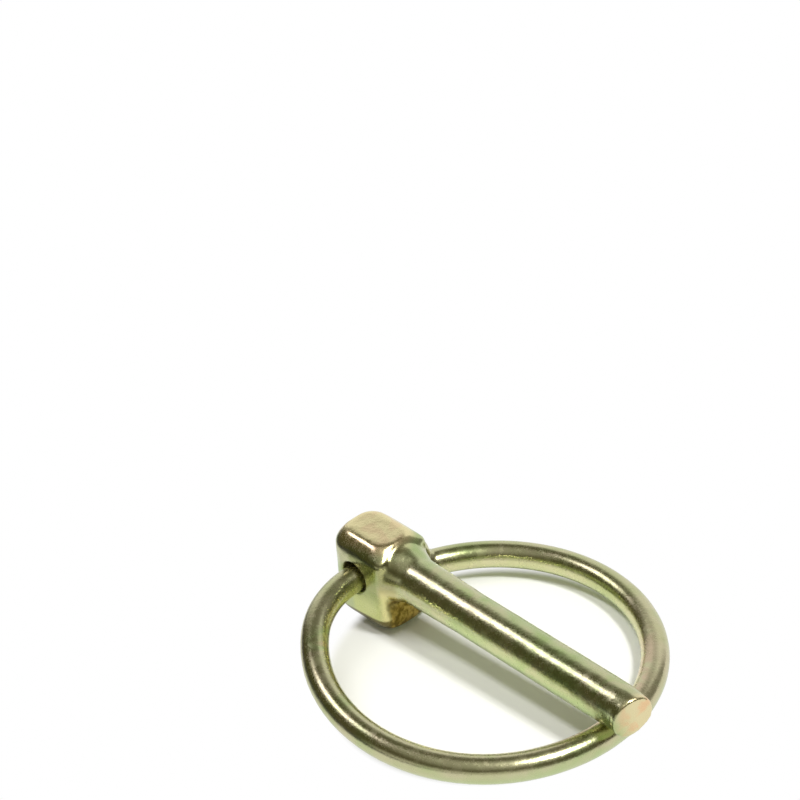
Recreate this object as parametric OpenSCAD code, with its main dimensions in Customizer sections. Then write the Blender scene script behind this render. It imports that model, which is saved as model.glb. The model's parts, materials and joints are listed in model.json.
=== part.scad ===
// Lynch pin: a forged, headed pin with a sprung wire ring that swings over the shank.
// Millimetres. The pin lies as it comes to rest, on the lower edge of its head and on the
// far side of the closed ring, with Z up and the shank pointing along +X.

/* [Shank] */
// Diameter of the straight shank
shank_d = 6; // [5:0.1:7]
// Length of the shank from the head's shoulder to the tip
shank_len = 40.7; // [40:0.1:60]
// How much the radius shrinks over the tapered tip
tip_taper = 0.3; // [0.2:0.05:0.8]
// Length of the tapered tip
tip_len = 2.1; // [1.5:0.1:3]
// Angle by which the cropped end face is out of square
tip_skew = 14; // [0:1:18]
// Distance from the end of the straight shank to the closed ring
lead_gap = 1.3; // [1:0.1:2]
// How much the radius shrinks from there to the tapered tip
lead_drop = 0.05; // [0.02:0.01:0.1]
// How much thicker than the shank its drafted root is
root_extra = 0.5; // [0.2:0.1:1]
// Length of the drafted root, from the shoulder to the straight shank
root_len = 12; // [8:0.5:20]
// Length of the neck that flares from the root into the head
neck_len = 2.3; // [2:0.1:4]
// How far the neck rises above the root where it meets the shoulder
neck_rise = 0.85; // [0.5:0.05:1]

/* [Head] */
// Length of the head along the shank
head_len = 10.4; // [9.5:0.1:14]
// Width of the head across its side faces
head_w = 9; // [8:0.1:12]
// Height of the head above the shank's axis
head_over = 4.7; // [4:0.1:6]
// Depth of the head below the shank's axis
head_under = 8.6; // [8.3:0.1:11]
// Width of the bevels between the side faces and the top and bottom faces
side_bevel = 1.9; // [1.4:0.1:2.1]
// How far the top and bottom faces stop short of the shoulder and the back
end_bevel = 1.2; // [0.8:0.1:1.6]
// Radius of the corners of the top face
top_corner_r = 2.2; // [1:0.1:2.4]
// Radius of the corners of the bottom face
low_corner_r = 1; // [0.5:0.1:2]
// Radius of the upright edges at the back
back_r = 3; // [1:0.1:3.2]
// Radius of the upright edges at the shoulder
front_r = 1.1; // [0.8:0.1:2]

/* [Ring hole] */
// Diameter of the cross hole that holds both ends of the ring
hole_d = 5.2; // [4.4:0.1:5.4]
// Distance of the hole's axis behind the shoulder
hole_back = 5.5; // [5:0.1:5.6]
// Distance of the hole's axis below the shank's axis
hole_drop = 0.75; // [0.4:0.05:1.5]
// Depth of the countersink left by deburring the hole
hole_chamfer = 0.25; // [0.1:0.05:0.5]

/* [Ring] */
// Diameter of the spring wire
wire_d = 3.7; // [3:0.1:4]
// Diameter of the ring, measured to the middle of the wire
ring_d = 42.6; // [38:0.2:45]
// How far the ring's flat part lies below its two ends
ring_offset = 4.1; // [3:0.1:4.5]
// Angle from the far side at which the ring starts to lift towards its long end
lift_angle = 38; // [25:1:60]
// How far out from the head's side the cranked end leaves the ring
crank_gap = 4.5; // [4.3:0.1:6]
// Length over which the long end bends square to the head
long_bend = 6; // [3:0.5:8]
// Length over which the cranked end bends square to the head
short_bend = 1.9; // [1.8:0.1:2.1]
// Gap between the wire's two ends inside the head
end_gap = 1; // [0.5:0.1:3]
// Gap left under the wire where it sits in the hole
seat_gap = 0.1; // [0.05:0.05:0.2]
// Gap between the closed ring and the underside of the shank
stop_gap = 0.1; // [0.05:0.05:0.5]

/* [Hidden] */

$fn = 96;
edge_cut = 0.25;     // how far the facet on each edge of the head cuts it back
overlap = 0.2;       // how far joined solids run into each other
weld_gap = 0.05;     // how far short of a joint each length of wire stops, inside the weld
weld_extra = 0.015;  // how much thicker than the wire the ball that joins two lengths is

// ---- the pin's own frame: X along the shank from the shoulder, Z across the head ----
shank_r = shank_d / 2;
root_r = shank_r + root_extra / 2;
wire_r = wire_d / 2;
ring_r = ring_d / 2;
hole_r = hole_d / 2;
hole_pos = [-hole_back, 0, -hole_drop];
// The wire sits low in its hole, which is drilled larger to let the ring flex
wire_pos = hole_pos - [0, 0, hole_r - wire_r - seat_gap];

// ---- the ring's flat part, under the shank and under the hole ----
ring_reach = sqrt(ring_r * ring_r - head_w * head_w / 4);   // hole axis to ring centre
near_z = wire_pos[2] - ring_offset;
crank_angle = 180 - asin((head_w / 2 + crank_gap) / ring_r);
far_z = -(shank_r + wire_r + stop_gap);
ring_slope = asin((near_z - far_z) / (ring_reach + ring_r));
ring_mid = [wire_pos[0] + ring_reach * cos(ring_slope), 0, near_z - ring_reach * sin(ring_slope)];
// A direction of the ring's flat part, in the pin's frame
function level(v) = [
    v[0] * cos(ring_slope) + v[2] * sin(ring_slope),
    v[1],
    -v[0] * sin(ring_slope) + v[2] * cos(ring_slope)];
function on_ring(a) = ring_mid + ring_r * level([cos(a), sin(a), 0]);
function along_ring(a) = level([-sin(a), cos(a), 0]);

// ---- the tip: a taper, cropped a little out of square ----
lead_start = on_ring(0)[0] - wire_r - lead_gap;
tip_start = shank_len - tip_len;
tip_r = shank_r - lead_drop;                                 // where the taper starts
tip_slope = tip_taper / tip_len;
tip_reach = tip_len + shank_r * tan(tip_skew) + overlap;
// A point on the rim of the cropped face, at angle a round the shank
function tip_rim(a) = let (
    r = (tip_r - tip_taper) / (1 + tip_slope * tan(tip_skew) * sin(a)))
    [shank_len + r * sin(a) * tan(tip_skew), r * sin(a), r * cos(a)];

// ---- how the pin lies: tipped forward until the ring's far side meets the ground ----
edge_pos = [-end_bevel, 0, -head_under];                     // lower front edge of the head
reach = on_ring(0) - edge_pos;
tilt = atan2(reach[2], reach[0]) - asin(wire_r / norm(reach));
function lie_x(p) = p[0] * cos(tilt) + p[2] * sin(tilt);
function lie_z(p) = -p[0] * sin(tilt) + p[2] * cos(tilt);
back_end = lie_x([-head_len, 0, -head_under + side_bevel]);
tip_end = max([for (a = [0:0.5:360]) lie_x(tip_rim(a))]);
ring_end = lie_x(on_ring(0)) + wire_r;
middle = (back_end + max(tip_end, ring_end)) / 2;
ground = lie_z(edge_pos);

// Moves the pin's own frame to where it lies
module lying() {
    translate([-middle, 0, -ground]) rotate([0, tilt, 0]) children();
}

// ---- vectors ----
function unit(v) = v / norm(v);
function angle_of(arc, r) = arc / r * 180 / PI;

// Puts a shape at p, its Z turned to direction t
module along(p, t) {
    u = unit(t);
    translate(p) rotate([0, acos(u[2]), atan2(u[1], u[0])]) children();
}

// ==== pin ====

// A plate of the head from z1 to z2, set in by end and side, with rounded upright corners
module plate(z1, z2, end, side, r_back, r_front) {
    w = head_w / 2 - side;
    translate([0, 0, z1]) linear_extrude(height = z2 - z1)
        polygon([for (c = [[-1, -1, 180], [1, -1, 270], [1, 1, 0], [-1, 1, 90]], a = [0:15:90])
            let (r = c[0] < 0 ? r_back : r_front, x = c[0] < 0 ? end - head_len : -end)
            [x - c[0] * r + r * cos(c[2] + a), c[1] * (w - r) + r * sin(c[2] + a)]]);
}

// The faces stand a little proud of one another, so every edge is a narrow facet
module head_block() {
    z1 = -head_under;
    z2 = head_over;
    b = side_bevel;
    e = edge_cut;
    hull() {
        plate(0, z2, end_bevel, b, top_corner_r, top_corner_r);
        plate(0, z2 - e, end_bevel - e, b - 2 * e, top_corner_r, top_corner_r);
        plate(z1, 0, end_bevel, b, low_corner_r, low_corner_r);
        plate(z1 + e, 0, end_bevel - e, b - 2 * e, low_corner_r, low_corner_r);
        plate(z1 + b - 2 * e, z2 - b + 2 * e, e / 2, e, back_r, front_r);
        plate(z1 + b, z2 - b, 0, 0, back_r, front_r);
    }
}

// The shank turned about its axis, from inside the head to the cropped tip
module shank() {
    neck_r = root_r + neck_rise;
    end_x = tip_start + tip_reach;
    end_r = tip_r - tip_slope * tip_reach;
    difference() {
        rotate([0, 90, 0]) rotate_extrude() polygon([
            [0, -end_bevel], [neck_r, -end_bevel], [neck_r, 0], [root_r, neck_len],
            [shank_r, root_len], [shank_r, lead_start], [tip_r, tip_start],
            [end_r, end_x], [0, end_x]]);
        translate([shank_len, 0, 0]) rotate([0, 0, -tip_skew])
            translate([0, -shank_d, -shank_d]) cube([shank_d, 2 * shank_d, 2 * shank_d]);
    }
}

// The cross hole, opened out a little at both side faces
module ring_hole() {
    w = head_w / 2;
    translate(hole_pos) rotate([90, 0, 0]) {
        cylinder(r = hole_r, h = head_w + 2 * overlap, center = true);
        for (side = [0, 180]) rotate([side, 0, 0])
            translate([0, 0, w - hole_chamfer])
                cylinder(r1 = hole_r, r2 = hole_r + hole_chamfer + overlap,
                         h = hole_chamfer + overlap);
    }
}

module pin() {
    color("#c9bd84") lying() difference() {
        union() {
            head_block();
            shank();
        }
        ring_hole();
    }
}

// ==== ring ====

// The wire bent to a circle that leaves point p along direction t and ends at point q
module wire_bend(p, t, q) {
    chord = q - p;
    ahead = unit(t);
    turn = acos(ahead * unit(chord));                 // half of the bend's angle
    bend_r = norm(chord) / (2 * sin(turn));
    inward = unit(chord - (chord * ahead) * ahead);   // towards the bend's centre
    up = cross(-inward, ahead);
    c = p + bend_r * inward;
    trim = angle_of(weld_gap, bend_r);
    multmatrix([
        [-inward[0], ahead[0], up[0], c[0]],
        [-inward[1], ahead[1], up[1], c[1]],
        [-inward[2], ahead[2], up[2], c[2]],
        [0, 0, 0, 1]])
        rotate_extrude(angle = 2 * (turn - trim), start = trim)
            translate([bend_r, 0]) circle(r = wire_r);
}

// From the flat part of the ring to the hole: two bends that meet without a kink
module ring_end_bends(side, angle, end_bend) {
    p = on_ring(side * angle);
    t = side * along_ring(side * angle);
    q = [wire_pos[0], side * head_w / 2, wire_pos[2]];
    u = [0, -side, 0];
    b = q - end_bend * u;                             // where the second bend's tangents cross
    d = ((b - p) * (b - p) - end_bend * end_bend) / (2 * ((b - p) * t + end_bend));
    a = p + d * t;                                    // where the first bend's tangents cross
    joint = a + d * unit(b - a);
    wire_bend(p, t, joint);
    wire_bend(joint, b - a, q);
    translate(q + weld_gap * u) rotate([side * 90, 0, 0])
        cylinder(r = wire_r, h = (head_w - end_gap) / 2 - weld_gap);
    for (weld = [[p, t], [joint, b - a], [q, u]])
        along(weld[0], weld[1]) sphere(r = wire_r + weld_extra);
}

module ring() {
    trim = angle_of(weld_gap, ring_r);
    color("#a8a468") lying() {
        translate(ring_mid) rotate([0, ring_slope, 0])
            rotate_extrude(angle = lift_angle + crank_angle - 2 * trim, start = trim - lift_angle)
                translate([ring_r, 0]) circle(r = wire_r);
        ring_end_bends(-1, lift_angle, long_bend);
        ring_end_bends(1, crank_angle, short_bend);
    }
}

pin();
ring();
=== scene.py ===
import json
import math
import bpy
from mathutils import Matrix, Vector


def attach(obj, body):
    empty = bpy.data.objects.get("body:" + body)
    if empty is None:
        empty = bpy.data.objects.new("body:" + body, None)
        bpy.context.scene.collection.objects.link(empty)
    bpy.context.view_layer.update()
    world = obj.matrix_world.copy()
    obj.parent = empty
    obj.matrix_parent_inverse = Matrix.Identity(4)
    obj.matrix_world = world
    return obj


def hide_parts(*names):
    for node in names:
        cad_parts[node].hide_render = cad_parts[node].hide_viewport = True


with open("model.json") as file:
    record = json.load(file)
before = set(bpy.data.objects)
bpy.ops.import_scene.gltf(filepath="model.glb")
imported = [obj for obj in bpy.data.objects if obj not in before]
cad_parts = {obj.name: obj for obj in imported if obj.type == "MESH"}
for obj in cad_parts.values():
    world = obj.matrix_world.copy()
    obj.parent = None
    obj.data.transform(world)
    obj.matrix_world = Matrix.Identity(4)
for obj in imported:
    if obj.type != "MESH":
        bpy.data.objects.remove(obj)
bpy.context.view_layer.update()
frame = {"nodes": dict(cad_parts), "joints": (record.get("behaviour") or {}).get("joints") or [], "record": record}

bpy.ops.object.select_all(action="DESELECT")
scene = bpy.context.scene


# ---------------------------------------------------------------------------
# Pin: one steel forging, the round shank and the block head in one. Its flash is trimmed off under
# the shank, its end is cropped in a shear, and it is tumbled, zinc plated and yellow chromated in a
# barrel. It doesn't move: the ring turns in the hole through its head.
# ---------------------------------------------------------------------------
merge_distance = 1e-6        # under which points of a mesh are joined
pin_grain = 0.00017          # size of the mesh's faces
pass_strength = 0.5          # how far one softening pass moves a point towards its neighbours
edge_passes = 30             # passes that round all the forging's edges
corner_passes = 110          # more passes for the head's lower corners
# Where the worn corners begin, and how far in from there the wear is full.
corner_back, corner_back_ease = -0.0215, 0.0045
corner_side, corner_side_ease = 0.002, 0.0015
corner_top, corner_top_ease = 0.004, 0.002
corner_front = -0.012

hole_x, hole_z, hole_radius = -0.0208278, 0.00804535, 0.0026
hole_reach = 0.0042          # how far from the hole's axis the steel is drawn in
hole_closed = 0.14           # share by which the hole closes on the wire

belly = 0.0009               # how far the trimmed face stands out
belly_back, belly_ease, belly_front = -0.0176, 0.0015, -0.0125
belly_middle, belly_half_height, belly_half_width = 0.0010, 0.0036, 0.0056

shank_way = Vector(frame["record"]["mounts"][0]["axis"])
shank_end = Vector((0.02536, 0, 0.0066))
end_radius = 0.0028
burr = 0.0006                # how far the shear drags the end's edge out
burr_way = Vector((0, -0.88, -0.47))
burr_length, burr_ease = 0.0016, 0.0012    # where it begins before the end, and how soon it is full

skin_unevenness = 0.00005    # how far the forged skin swells and sinks
skin_lump = 0.0022           # size of its swellings

pin = bpy.data.objects.new("forged_pin", frame["nodes"]["pin"].data.copy())
scene.collection.objects.link(pin)
pin.select_set(True)
bpy.context.view_layer.objects.active = pin
bpy.ops.object.mode_set(mode="EDIT")
bpy.ops.mesh.select_all(action="SELECT")
bpy.ops.mesh.remove_doubles(threshold=merge_distance)
bpy.ops.mesh.normals_make_consistent(inside=False)
bpy.ops.object.mode_set(mode="OBJECT")

remesh = pin.modifiers.new("even grain", "REMESH")
remesh.mode = "VOXEL"
remesh.voxel_size = pin_grain
remesh.use_smooth_shade = True
bpy.ops.object.modifier_apply(modifier=remesh.name)

soften = pin.modifiers.new("tumbled edges", "SMOOTH")
soften.factor = pass_strength
soften.iterations = edge_passes
bpy.ops.object.modifier_apply(modifier=soften.name)


def share(amount, whole):
    """How much of the whole is reached, from 0 to 1."""
    return min(max(amount / whole, 0.0), 1.0)


# The head's lower corners wear the most in the barrel.
corners = pin.vertex_groups.new(name="lower corners")
for vertex in pin.data.vertices:
    x, y, z = vertex.co
    if x < corner_front and z < corner_top and abs(y) > corner_side:
        worn = share(corner_top - z, corner_top_ease)
        worn *= share(abs(y) - corner_side, corner_side_ease)
        worn *= share(x - corner_back, corner_back_ease)
        corners.add([vertex.index], worn, "REPLACE")
round_off = pin.modifiers.new("worn lower corners", "SMOOTH")
round_off.factor = pass_strength
round_off.iterations = corner_passes
round_off.vertex_group = corners.name
bpy.ops.object.modifier_apply(modifier=round_off.name)
pin.vertex_groups.clear()

# Tumbling and use roll the hole's edge in: it closes towards its lowest point, where the wire sits.
for vertex in pin.data.vertices:
    from_axis = Vector((vertex.co.x - hole_x, 0, vertex.co.z - hole_z)).length
    if from_axis < hole_reach:
        near = share(hole_reach - from_axis, hole_reach - hole_radius)
        near *= near * (3 - 2 * near)
        to_seat = Vector((hole_x - vertex.co.x, 0, hole_z - hole_radius - vertex.co.z))
        vertex.co += near * hole_closed * to_seat

# The flash under the shank is trimmed by hand and leaves a bellied face.
for vertex in pin.data.vertices:
    x, y, z = vertex.co
    if belly_back < x < belly_front and z < belly_middle + belly_half_height:
        full = share(x - belly_back, belly_ease) * (1 - (y / belly_half_width) ** 2)
        vertex.co.x += belly * full * (1 - ((z - belly_middle) / belly_half_height) ** 2)

# The shear that crops the end drags its edge out on the side where it leaves the steel.
for vertex in pin.data.vertices:
    along = (vertex.co - shank_end).dot(shank_way)
    if along > -burr_length:
        out = vertex.co - shank_end - along * shank_way
        dragged = max(out.dot(burr_way) / end_radius, 0.0) * share(along + burr_length, burr_ease)
        vertex.co += burr * dragged * out.normalized()

skin = bpy.data.textures.new("forged skin", "CLOUDS")
skin.noise_scale = skin_lump
skin.noise_depth = 1
uneven = pin.modifiers.new("forged skin", "DISPLACE")
uneven.texture = skin
uneven.strength = skin_unevenness
uneven.mid_level = 0.5
bpy.ops.object.modifier_apply(modifier=uneven.name)
bpy.ops.object.shade_smooth()
pin.select_set(False)


def linear(hex_colour):
    """An sRGB hex colour as linear red, green, blue and alpha."""
    channels = [int(hex_colour[i:i + 2], 16) / 255 for i in (1, 3, 5)]
    return [c / 12.92 if c <= 0.04045 else ((c + 0.055) / 1.055) ** 2.4 for c in channels] + [1.0]


def new_tree(block):
    """An empty node tree on a material or world."""
    block.use_nodes = True
    block.node_tree.nodes.clear()
    return block.node_tree


def add_node(tree, kind, settings=None, **inputs):
    """Adds a shader node with its settings. Its inputs are named, or numbered i0, i1 among those in
    use, and take a value, a socket, or a node, whose first output in use is linked."""
    node = tree.nodes.new("ShaderNode" + kind)
    for name, value in (settings or {}).items():
        setattr(node, name, value)
    in_use = [socket for socket in node.inputs if socket.enabled]
    for name, value in inputs.items():
        if name[1:].isdigit():
            socket = in_use[int(name[1:])]
        else:
            socket = next(s for s in in_use if s.name == name.replace("_", " "))
        if isinstance(value, bpy.types.Node):
            value = next(output for output in value.outputs if output.enabled)
        if isinstance(value, bpy.types.NodeSocket):
            tree.links.new(value, socket)
        else:
            socket.default_value = value
    return node


def faded(tree, *fades, amount=1.0):
    """The amount, times the share that each fade lets through: (value, low, high, share up to low,
    share from high on)."""
    for value, low, high, at_low, at_high in fades:
        fade = add_node(tree, "MapRange", {"interpolation_type": "SMOOTHSTEP"}, Value=value,
                        From_Min=low, From_Max=high, To_Min=at_low, To_Max=at_high)
        amount = add_node(tree, "Math", {"operation": "MULTIPLY"}, i0=amount, i1=fade)
    return amount


def patch(tree, axes, amount=1.0, **limits):
    """The amount, on the surface between the lowest and highest X, Y and Z given, softly edged."""
    edge = 0.0005
    fades = []
    for axis, (lowest, highest) in limits.items():
        if lowest is not None:
            fades.append((axes[axis], lowest - edge, lowest + edge, 0.0, 1.0))
        if highest is not None:
            fades.append((axes[axis], highest - edge, highest + edge, 1.0, 0.0))
    return faded(tree, *fades, amount=amount)


film_stops = (0.28, 0.43, 0.55, 0.67, 0.8)    # where the clouds take on each of the film's colours


def chromate_film(tree, place, cloud_mm, swirl, colours):
    """The film's colours, which drift from one to the next in clouds of that size."""
    clouds = add_node(tree, "TexNoise", Vector=place, Scale=1000 / cloud_mm, Detail=3.0,
                      Distortion=swirl)
    film = add_node(tree, "ValToRGB", Fac=clouds)
    elements = film.color_ramp.elements
    while len(elements) < len(colours):
        elements.new(1.0)
    for element, position, colour in zip(elements, film_stops, colours):
        element.position = position
        element.color = linear(colour)
    return film


# Yellow chromated zinc on a forging: a thin clear film over bright metal. The eye gets pale
# yellow-green that drifts to tan, mirrored bands with grainy edges, tan on the flat faces, a dull
# hole of darker olive, and a rough brown skin on the trimmed face under the shank, where the tumbling
# stones don't reach; that brown is also painted darker, as painted shade from under the shank.
# Also painted into the colour: painted reflection that makes the shank's underside greener and the
# head's side lighter below than above, and painted shade on the head's front corner and lower edge.
# The plating's own grain is under 0.1 mm and is drawn coarser, so that it shows.
plated_roughness = 0.24
forging_cloud_mm, forging_swirl = 6.0, 0.6         # the film's slow drift of colour
forging_spot_mm, forging_spot_swirl = 2.6, 0.4     # rosier spots on the flat faces
forging_stain_mm, forging_stain_dulling = 1.1, 0.08
forging_grain_mm, forging_grain_height = 0.42, 0.000018
crumb_mm, crumb_height, crumb_dulling = 0.8, 0.00014, 0.25    # torn steel on the trimmed face
bore_metal, bore_dulling = 0.2, 0.3                # the hole's wall is duller and less metallic

forging_finish = bpy.data.materials.new("yellow chromated zinc on a forging")
tree = new_tree(forging_finish)
place = add_node(tree, "TexCoord").outputs["Object"]
axes = add_node(tree, "SeparateXYZ", Vector=place).outputs
film = chromate_film(tree, place, forging_cloud_mm, forging_swirl,
                     ("#adc180", "#c0c996", "#cccaa0", "#b8c78a", "#d8c59a"))
spots = add_node(tree, "TexNoise", Vector=place, Scale=1000 / forging_spot_mm, Detail=2.0,
                 Distortion=forging_spot_swirl)
spots = faded(tree, (spots, 0.45, 0.62, 0.0, 1.0))
# On the shank's underside a greener, darker colour: painted reflection of the light it mirrors from below.
top_film, end_film, underside_painted_reflection = [
    add_node(tree, "Mix", {"data_type": "RGBA"}, Factor=spots, A=linear(plain), B=linear(rosier))
    for plain, rosier in (("#f6e9b4", "#f5dfb0"), ("#ebdeae", "#f1ce9f"), ("#a3bb78", "#b2bf88"))]
# The head's side: a yellow-green film, lighter below and darker above as painted reflection of the bright floor
# below.
side_film_and_painted_reflection, corner_painted_shade = [
    add_node(tree, "Mix", {"data_type": "RGBA"}, A=linear(below), B=linear(above),
             Factor=faded(tree, (axes["Z"], lowest, highest, 0.0, 1.0)))
    for lowest, highest, below, above in ((0.0038, 0.0072, "#cdd088", "#98a05e"),
                                          (0.0068, 0.0088, "#dccf96", "#a8a274"))]
# The trimmed face: torn, crumbly steel, its brown also painted darker as painted shade from under the shank.
crumbs = add_node(tree, "TexNoise", Vector=place, Scale=1000 / crumb_mm, Detail=3.0, Roughness=0.65)
torn_steel_and_painted_shade = add_node(tree, "Mix", {"data_type": "RGBA"},
                      Factor=faded(tree, (crumbs, 0.42, 0.6, 0.0, 1.0)),
                      A=linear("#7a6829"), B=linear("#baa357"))

# X runs from the head to the tip and Z up, and -Y is the side of the ring's gentle end.
underside = faded(tree, (axes["Z"], 0.0060, 0.0078, 1.0, 0.0), amount=0.75)
end_face = patch(tree, axes, X=(0.0249, None))
top_face = patch(tree, axes, Z=(0.0126, None), amount=0.9)
head_side = patch(tree, axes, Y=(None, -0.0043), X=(-0.0212, -0.0160))
# Painted shade on the head's front corner, darker towards its top.
head_corner = patch(tree, axes, Y=(None, -0.0022), X=(-0.0160, -0.0135), amount=0.7)
# Painted shade along the head's lower edge, where it mirrors the dark ground at its foot.
tilted_height = add_node(tree, "VectorMath", {"operation": "DOT_PRODUCT"}, i0=place,
                         i1=(-0.06, 0.0, 1.0))
painted_shade_lower_edge = faded(tree, (tilted_height, 0.0034, 0.0038, 0.9, 0.0))
painted_shade_lower_edge = patch(tree, axes, Y=(None, -0.0026), amount=painted_shade_lower_edge)
trimmed = patch(tree, axes, X=(-0.0157, -0.0134), Y=(-0.0034, 0.0040), Z=(None, 0.0056))
# The hole's wall: a darker olive, duller and less metallic.
bore = patch(tree, axes, X=(-0.0233, -0.0184), Z=(0.0056, 0.0105), Y=(-0.0041, 0.0041))
for amount, colour in ((underside, underside_painted_reflection), (end_face, end_film), (top_face, top_film),
                       (head_side, side_film_and_painted_reflection), (head_corner, corner_painted_shade),
                       (painted_shade_lower_edge, linear("#574d26")), (trimmed, torn_steel_and_painted_shade),
                       (bore, linear("#8a8350"))):
    film = add_node(tree, "Mix", {"data_type": "RGBA"}, Factor=amount, A=film, B=colour)

stains = add_node(tree, "TexNoise", Vector=place, Scale=1000 / forging_stain_mm, Detail=3.0,
                  Roughness=0.6)
stains = faded(tree, (stains, 0.4, 0.75, 0.0, 1.0))
rough = plated_roughness
for amount, dulling in ((stains, forging_stain_dulling), (trimmed, crumb_dulling),
                        (bore, bore_dulling)):
    rough = add_node(tree, "Math", {"operation": "MULTIPLY_ADD"}, i0=amount, i1=dulling, i2=rough)
metal = add_node(tree, "Math", {"operation": "MULTIPLY_ADD"}, i0=bore, i1=bore_metal - 1, i2=1.0)
grain = add_node(tree, "TexNoise", Vector=place, Scale=1000 / forging_grain_mm, Detail=2.0)
relief = add_node(tree, "Bump", Height=grain, Distance=forging_grain_height, Strength=1.0)
torn_height = add_node(tree, "Math", {"operation": "MULTIPLY"}, i0=crumbs, i1=trimmed)
relief = add_node(tree, "Bump", Height=torn_height, Distance=crumb_height, Strength=1.0,
                  Normal=relief)
shader = add_node(tree, "BsdfPrincipled", Base_Color=film, Metallic=metal, Roughness=rough,
                  Normal=relief)
add_node(tree, "OutputMaterial", Surface=shader)
pin.data.materials.clear()
pin.data.materials.append(forging_finish)

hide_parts("pin")
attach(pin, "pin")


# ---------------------------------------------------------------------------
# Ring: one length of 3.7 mm round spring wire, bent to an open ring. Both ends are cranked inward
# into the hole through the head, where they hold the ring and let it turn. Plated and chromated
# with the pin.
# ---------------------------------------------------------------------------
wire_radius = 0.00185
ring_radius = 0.0213
ring_middle = Vector((-0.000246518, 0, 0.00258364))
ring_slope = math.radians(1.97383)
ring_hinge = Vector(frame["joints"][0]["pos_m"])
crank_gap = 0.0045           # half the room between the two cranks
wire_stop = 0.0005           # where the wire ends, beside the middle of the hole
crank_angles = {-1: 38.0, 1: 155.0}       # degrees from the tip side where the wire's -Y and +Y
crank_bends = {-1: 0.006, 1: 0.0019}      # ends leave the flat ring, and their bends at the head
ring_steps, bend_steps = 160, 24          # points along the ring and along each bend
wire_bevel_steps = 10        # gives 24 facets round the wire
wire_crease = math.radians(40)            # over which an edge stays sharp, as at the wire's ends


def on_ring(degrees):
    """A point of the ring's wire line, from the tip side round towards +Y."""
    a = math.radians(degrees)
    return ring_middle + ring_radius * Vector((math.cos(a) * math.cos(ring_slope), math.sin(a),
                                               -math.cos(a) * math.sin(ring_slope)))


def along_ring(degrees):
    """The wire's direction at that point."""
    a = math.radians(degrees)
    return Vector((-math.sin(a) * math.cos(ring_slope), math.cos(a),
                   math.sin(a) * math.sin(ring_slope)))


def bend(start, way, end):
    """Points of the circular arc that leaves start in the direction way and comes to end."""
    chord = end - start
    half_turn = way.angle(chord)
    side = (chord - chord.dot(way) * way).normalized()
    radius = chord.length / (2 * math.sin(half_turn))
    turns = [2 * half_turn * i / bend_steps for i in range(1, bend_steps + 1)]
    return [start + radius * (math.sin(t) * way + (1 - math.cos(t)) * side) for t in turns]


def crank(side):
    """Points from one end of the ring's arc through its crank to the end of the wire."""
    start = on_ring(side * crank_angles[side])
    way = side * along_ring(side * crank_angles[side])
    entry = ring_hinge + Vector((0, side * crank_gap, 0))
    inward = Vector((0, -side, 0))
    before = entry - crank_bends[side] * inward
    gap = before - start
    reach = (gap.dot(gap) - crank_bends[side] ** 2) / (2 * (gap.dot(way) + crank_bends[side]))
    corner = start + reach * way
    joint = corner + reach * (before - corner).normalized()
    points = bend(start, way, joint) + bend(joint, (before - corner).normalized(), entry)
    return points + [ring_hinge + Vector((0, side * wire_stop, 0))]


first, last = -crank_angles[-1], crank_angles[1]
ring_arc = [on_ring(first + (last - first) * i / ring_steps) for i in range(ring_steps + 1)]
wire_path = crank(-1)[::-1] + ring_arc + crank(1)

wire = bpy.data.curves.new("ring wire", "CURVE")
wire.dimensions = "3D"
wire.bevel_depth = wire_radius
wire.bevel_resolution = wire_bevel_steps
wire.use_fill_caps = True
spline = wire.splines.new("POLY")
spline.points.add(len(wire_path) - 1)
for point, position in zip(spline.points, wire_path):
    point.co = (*position, 1.0)
ring = bpy.data.objects.new("wire_ring", wire)
scene.collection.objects.link(ring)
ring.select_set(True)
bpy.context.view_layer.objects.active = ring
bpy.ops.object.convert(target="MESH")
ring = bpy.context.view_layer.objects.active
bpy.ops.object.mode_set(mode="EDIT")
bpy.ops.mesh.select_all(action="SELECT")
bpy.ops.mesh.remove_doubles(threshold=merge_distance)
bpy.ops.mesh.normals_make_consistent(inside=False)
bpy.ops.object.mode_set(mode="OBJECT")
bpy.ops.object.shade_smooth_by_angle(angle=wire_crease)
ring.select_set(False)

# Yellow chromated zinc on drawn wire: the same film over a smoother metal. The eye gets long
# unbroken bands around the ring and rosy where it comes round to the tip. Lighter and greener low
# on the wire and paler along its inner side are painted reflection, brighter bands painted into the
# colour. The plating's grain is drawn coarser here too, so that it shows.
wire_cloud_mm, wire_swirl = 9.0, 0.5
wire_spot_mm = 3.0
wire_stain_mm, wire_stain_dulling = 1.3, 0.1
wire_grain_mm, wire_grain_height = 0.45, 0.000014

wire_finish = bpy.data.materials.new("yellow chromated zinc on drawn wire")
tree = new_tree(wire_finish)
place = add_node(tree, "TexCoord").outputs["Object"]
axes = add_node(tree, "SeparateXYZ", Vector=place).outputs
from_middle = add_node(tree, "VectorMath", {"operation": "LENGTH"}, i0=place)
film = chromate_film(tree, place, wire_cloud_mm, wire_swirl,
                     ("#b2be84", "#c8c99a", "#d1cca5", "#bdc991", "#dac3a1"))
spots = add_node(tree, "TexNoise", Vector=place, Scale=1000 / wire_spot_mm, Detail=2.0)
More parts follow.
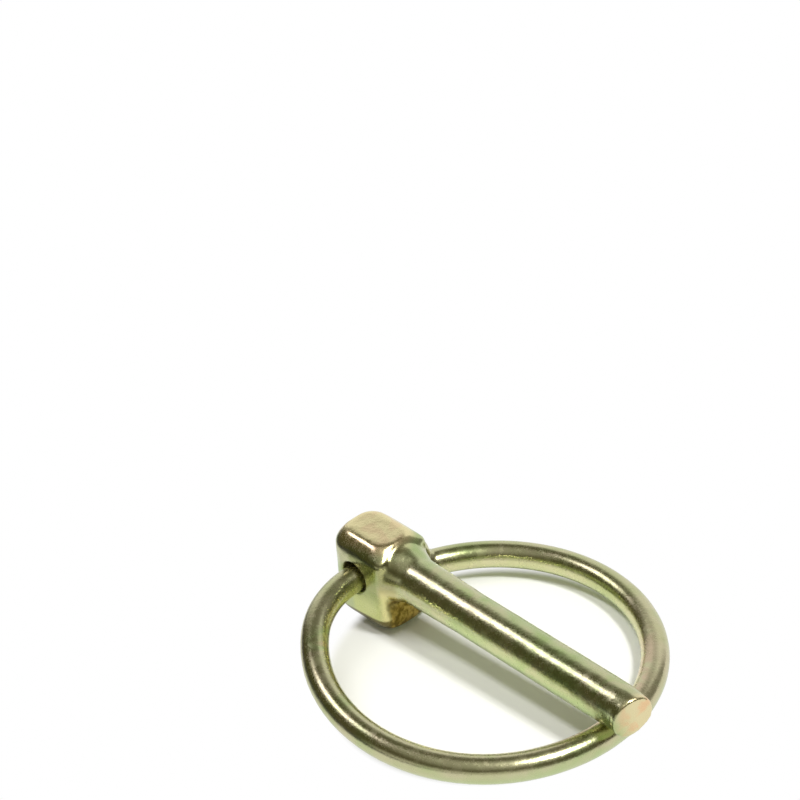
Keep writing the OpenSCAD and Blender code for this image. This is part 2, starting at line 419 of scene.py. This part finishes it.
# Painted reflection: lighter and greener low on the wire, paler along its inner side.
low_side_painted_reflection = faded(tree, (axes["Z"], 0.0012, 0.0028, 0.7, 0.0))
inner_side_painted_reflection = faded(tree, (from_middle, 0.0204, 0.0213, 0.8, 0.0),
                   (axes["Y"], -0.006, 0.002, 1.0, 0.0))
rosy = faded(tree, (axes["X"], 0.010, 0.016, 0.0, 0.6), (axes["Y"], -0.010, -0.003, 0.0, 1.0),
             (from_middle, 0.0208, 0.0220, 1.0, 0.25), (spots, 0.35, 0.52, 0.0, 1.0))
for amount, colour in ((low_side_painted_reflection, "#c2d29a"), (inner_side_painted_reflection, "#ddd3ba"), (rosy, "#d6b8a0")):
    film = add_node(tree, "Mix", {"data_type": "RGBA"}, Factor=amount, A=film, B=linear(colour))

stains = add_node(tree, "TexNoise", Vector=place, Scale=1000 / wire_stain_mm, Detail=3.0,
                  Roughness=0.6)
stains = faded(tree, (stains, 0.4, 0.75, 0.0, 1.0))
rough = add_node(tree, "Math", {"operation": "MULTIPLY_ADD"}, i0=stains, i1=wire_stain_dulling,
                 i2=plated_roughness)
grain = add_node(tree, "TexNoise", Vector=place, Scale=1000 / wire_grain_mm, Detail=2.0)
relief = add_node(tree, "Bump", Height=grain, Distance=wire_grain_height, Strength=1.0)
shader = add_node(tree, "BsdfPrincipled", Base_Color=film, Metallic=1.0, Roughness=rough,
                  Normal=relief)
add_node(tree, "OutputMaterial", Surface=shader)
ring.data.materials.clear()
ring.data.materials.append(wire_finish)

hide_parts("ring")
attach(ring, "ring")


# ---------------------------------------------------------------------------
# Ground: a plain sheet of white paper on a table, under the part. It shows the shadows inside the
# ring and fades into a white background beyond it.
# ---------------------------------------------------------------------------
ground_size = 6.0
fade_middle, fade_start, fade_end = (-0.0004, 0.0003, 0.0), 0.0204, 0.0225
table_way, table_fall, table_end = (-0.552, -0.834, 0.0), 0.028, 0.046
bright_table, dark_table = 0.92, 0.06

bpy.ops.mesh.primitive_plane_add(size=ground_size, location=(0, 0, 0))
ground = bpy.context.active_object
ground.name = "ground"

# White paper: matt, and plain white to the eye. Metal mirrors it too, bright up to where the table
# ends, and dark from there.
ground_finish = bpy.data.materials.new("white paper")
tree = new_tree(ground_finish)
rays = add_node(tree, "LightPath").outputs
place = add_node(tree, "TexCoord").outputs["Object"]
from_middle = add_node(tree, "VectorMath", {"operation": "DISTANCE"}, i0=place, i1=fade_middle)
along_table = add_node(tree, "VectorMath", {"operation": "DOT_PRODUCT"}, i0=place, i1=table_way)
mirrored = faded(tree, (along_table, table_fall, table_end, bright_table, dark_table),
                 amount=rays["Is Glossy Ray"])
seen = add_node(tree, "Math", {"operation": "MAXIMUM"}, i0=rays["Is Camera Ray"], i1=mirrored)
paper = add_node(tree, "BsdfDiffuse", Color=linear("#efefef"))
white = add_node(tree, "Emission", Color=linear("#ffffff"), Strength=seen)
beyond = faded(tree, (from_middle, fade_start, fade_end, 0.0, 1.0))
surface = add_node(tree, "MixShader", i0=beyond, i1=paper, i2=white)
add_node(tree, "OutputMaterial", Surface=surface)
ground.data.materials.append(ground_finish)


# ---------------------------------------------------------------------------
# Light: a long soft box overhead along the shank and a small one behind on the right. The metal
# also mirrors a dim studio: a white wall behind that ends on the right, a bright window on the
# left, a hazy ceiling and a pale table edge in front.
# ---------------------------------------------------------------------------
white_light, fill_light = (1, 1, 1, 1), (0.42, 0.41, 0.31, 1)
wall_way, wall_light = (-0.35, 0.937, 0.0), (0.88, 0.88, 0.88, 1)
window_way, window_light = (-0.53, -0.30, 0.793), (4.6, 4.2, 5.0, 1)
haze_way, haze_light = (0.3, -0.25, 0.92), (0.33, 0.33, 0.28, 1)
front_way, table_edge_light = (0.45, -0.89, 0.0), (0.62, 0.62, 0.56, 1)

world = bpy.data.worlds.new("studio")
scene.world = world
tree = new_tree(world)
rays = add_node(tree, "LightPath").outputs
way = add_node(tree, "TexCoord").outputs["Generated"]
axes = add_node(tree, "SeparateXYZ", Vector=way).outputs
to_wall, to_window, to_haze, to_front = [
    add_node(tree, "VectorMath", {"operation": "DOT_PRODUCT"}, i0=way, i1=aim)
    for aim in (wall_way, window_way, haze_way, front_way)]
wall = faded(tree, (to_wall, 0.3, 0.58, 0.0, 1.0), (axes["Z"], 0.62, 0.76, 1.0, 0.1),
             (axes["X"], -0.02, 0.14, 1.0, 0.2))
window = faded(tree, (to_window, 0.970, 0.989, 0.0, 1.0), (axes["Y"], -0.44, -0.34, 0.0, 1.0))
haze = faded(tree, (to_haze, 0.72, 0.97, 0.0, 1.0))
table_edge = faded(tree, (to_front, 0.6, 0.85, 0.0, 1.0), (axes["Z"], 0.14, 0.36, 1.0, 0.0))
studio = linear("#524e36")
for amount, light in ((wall, wall_light), (window, window_light), (haze, haze_light),
                      (table_edge, table_edge_light)):
    studio = add_node(tree, "Mix", {"data_type": "RGBA"}, Factor=amount, A=studio, B=light)
lit = add_node(tree, "Mix", {"data_type": "RGBA"}, Factor=rays["Is Glossy Ray"], A=fill_light,
               B=studio)
seen = add_node(tree, "Mix", {"data_type": "RGBA"}, Factor=rays["Is Camera Ray"], A=lit,
                B=white_light)
sky = add_node(tree, "Background", Color=seen, Strength=1.0)
add_node(tree, "OutputWorld", Surface=sky)


def soft_box(name, direction, distance, size, brightness, mirrored):
    """An area lamp aimed at the part, whose face has that brightness; its width runs along X."""
    lamp = bpy.data.lights.new(name, "AREA")
    lamp.shape = "RECTANGLE"
    lamp.size, lamp.size_y = size
    lamp.energy = brightness * math.pi * size[0] * size[1]
    lamp_object = bpy.data.objects.new(name, lamp)
    scene.collection.objects.link(lamp_object)
    back = Vector(direction).normalized()
    across = (Vector((1, 0, 0)) - back.x * back).normalized()
    lamp_object.location = back * distance
    lamp_object.rotation_euler = Matrix((across, back.cross(across), back)).transposed().to_euler()
    lamp_object.visible_glossy = mirrored


soft_box("overhead soft box", (-0.25, -0.28, 1.0), 0.8, (0.82, 0.11), 9.8, False)
soft_box("soft box behind on the right", (0.55, 0.13, 1.0), 0.8, (0.15, 0.13), 66.0, True)


# ---------------------------------------------------------------------------
# Camera: a long lens that looks down across the head and along the shank, with the part in the
# lower right of the frame.
# ---------------------------------------------------------------------------
camera_data = bpy.data.cameras.new("camera")
camera_data.lens = 104.22
camera_data.sensor_width = 36.0
camera_data.clip_start = 0.01
camera = bpy.data.objects.new("camera", camera_data)
scene.collection.objects.link(camera)
camera.location = (0.17553844, -0.1554, 0.19007521)
camera.rotation_euler = (1.00694583, 0.09222603, 0.82198327)
scene.camera = camera

scene.view_settings.view_transform = "Standard"
